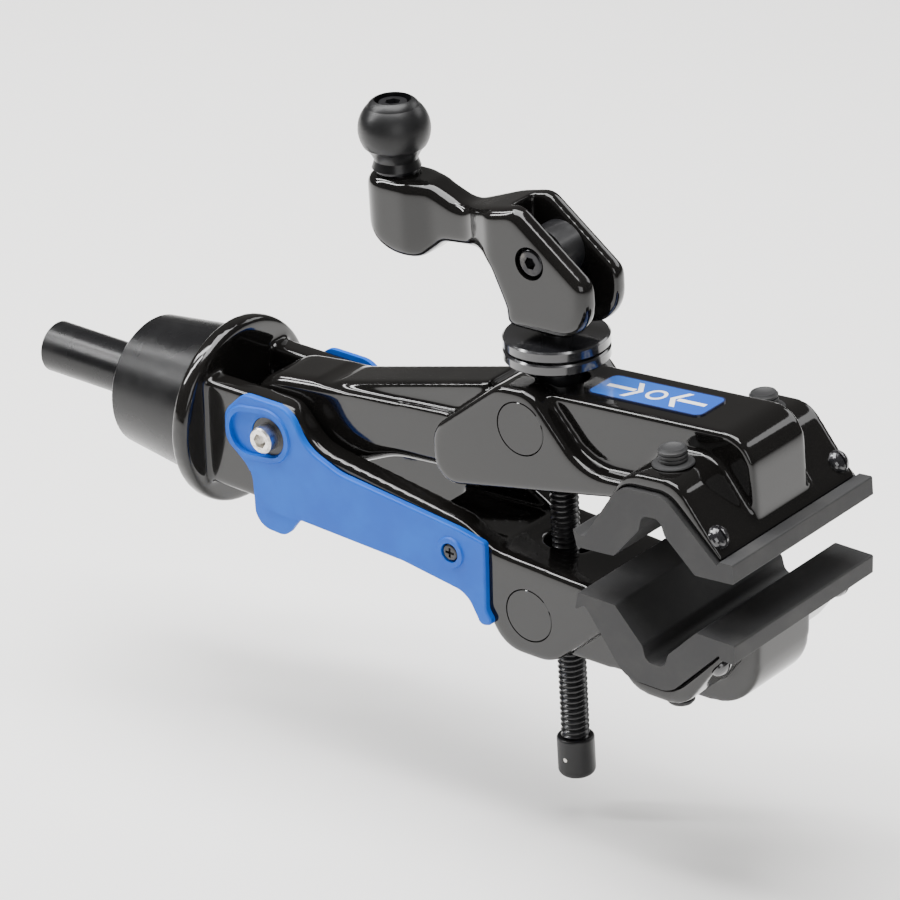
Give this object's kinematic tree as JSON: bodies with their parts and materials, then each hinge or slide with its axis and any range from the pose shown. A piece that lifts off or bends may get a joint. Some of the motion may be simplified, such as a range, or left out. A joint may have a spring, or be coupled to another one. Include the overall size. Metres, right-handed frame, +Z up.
{
  "type": "repair stand clamp head",
  "caption": "Repair stand clamp head: hinged jaws with grooved rubber pads, screw rod with cam lever and knob, blue side covers, and a round mounting stub behind a friction cone.",
  "frame": {"origin": "on the hub axis, where the mounting stub leaves the small end of the friction cone", "axes": "+X along the hub axis towards the jaws, +Y across the jaws, +Z up through the knob"},
  "size_m": [0.4164, 0.0998, 0.294],
  "materials": {
    "gloss_black": "cast aluminium under glossy black powder coat",
    "satin_black": "machined aluminium under a satin black coating",
    "black_steel": "black oxide turned steel",
    "bright_steel": "bright zinc-plated steel",
    "bronze": "sintered bronze",
    "pad_rubber": "matte moulded rubber",
    "plug_rubber": "moulded rubber",
    "blue_plastic": "blue moulded plastic with a fine satin surface",
    "black_plastic": "satin black moulded plastic",
    "label_film": null
  },
  "bodies": {
    "clamp_body": {"clamp_body": "gloss_black", "friction_cone": "satin_black", "mounting_stub": "black_steel", "stub_bolt": "black_steel", "lower_jaw_pad": "pad_rubber", "lower_pad_plugs": "plug_rubber", "lower_pad_screws": "black_steel", "right_side_cover": "blue_plastic", "left_side_cover": "blue_plastic", "cover_screws": "black_steel", "pivot_bolt": "bright_steel", "pivot_washers": "black_steel", "pivot_nut": "bright_steel"},
    "upper_jaw": {"upper_jaw": "gloss_black", "upper_jaw_pad": "pad_rubber", "upper_pad_plugs": "plug_rubber", "upper_pad_screws": "black_steel", "label_plate": "label_film", "pivot_bushes": "bronze"},
    "lower_trunnion": {"lower_trunnion": "black_steel"},
    "upper_trunnion": {"upper_trunnion": "black_steel", "thrust_sleeve": "black_steel", "lower_race": "black_steel", "roller_cage": "black_steel"},
    "adjusting_rod": {"adjusting_rod": "black_steel", "upper_race": "black_steel", "rod_collar": "black_steel", "rod_end_cap": "black_plastic", "cap_pin": "bright_steel"},
    "cam_lever": {"cam_lever": "gloss_black", "lever_pin": "black_steel", "lever_pin_nut": "black_steel", "knob_washer": "black_steel", "knob_screw": "black_steel"},
    "knob": {"knob": "black_plastic"}
  },
  "joints": [
    {"name": "rod_spin", "type": "hinge", "parent": "upper_trunnion", "child": "adjusting_rod", "pos_m": [0.23089, 0, 0.05133], "axis": [-0.0416, 0, 0.9991], "range_deg": [-1980, 2880]},
    {"name": "jaw_pivot", "type": "hinge", "parent": "clamp_body", "child": "upper_jaw", "pos_m": [0.093, 0, 0.009], "axis": [0, -1, 0], "range_deg": [-5.77, 8.39]},
    {"name": "upper_trunnion_tilt", "type": "hinge", "parent": "upper_jaw", "child": "upper_trunnion", "pos_m": [0.23089, 0, 0.05133], "axis": [0, -1, 0], "range_deg": [-4.81, 3.31]},
    {"name": "lower_trunnion_tilt", "type": "hinge", "parent": "clamp_body", "child": "lower_trunnion", "pos_m": [0.2345, 0, -0.0355], "axis": [0, -1, 0], "range_deg": [-2.46, 3.58]},
    {"name": "cam_lever_flip", "type": "hinge", "parent": "adjusting_rod", "child": "cam_lever", "pos_m": [0.22796, 0, 0.12167], "axis": [0, 1, 0], "range_deg": [0, 142]},
    {"name": "knob_spin", "type": "hinge", "parent": "cam_lever", "child": "knob", "pos_m": [0.1454, 0, 0.13825], "axis": [-0.0416, 0, 0.9991], "continuous": true}
  ],
  "couplings": [
    {"joint": "jaw_pivot", "follows": "rod_spin", "ratio": 0.0029132},
    {"joint": "upper_trunnion_tilt", "follows": "rod_spin", "ratio": -0.0016693},
    {"joint": "lower_trunnion_tilt", "follows": "rod_spin", "ratio": 0.0012439}
  ]
}
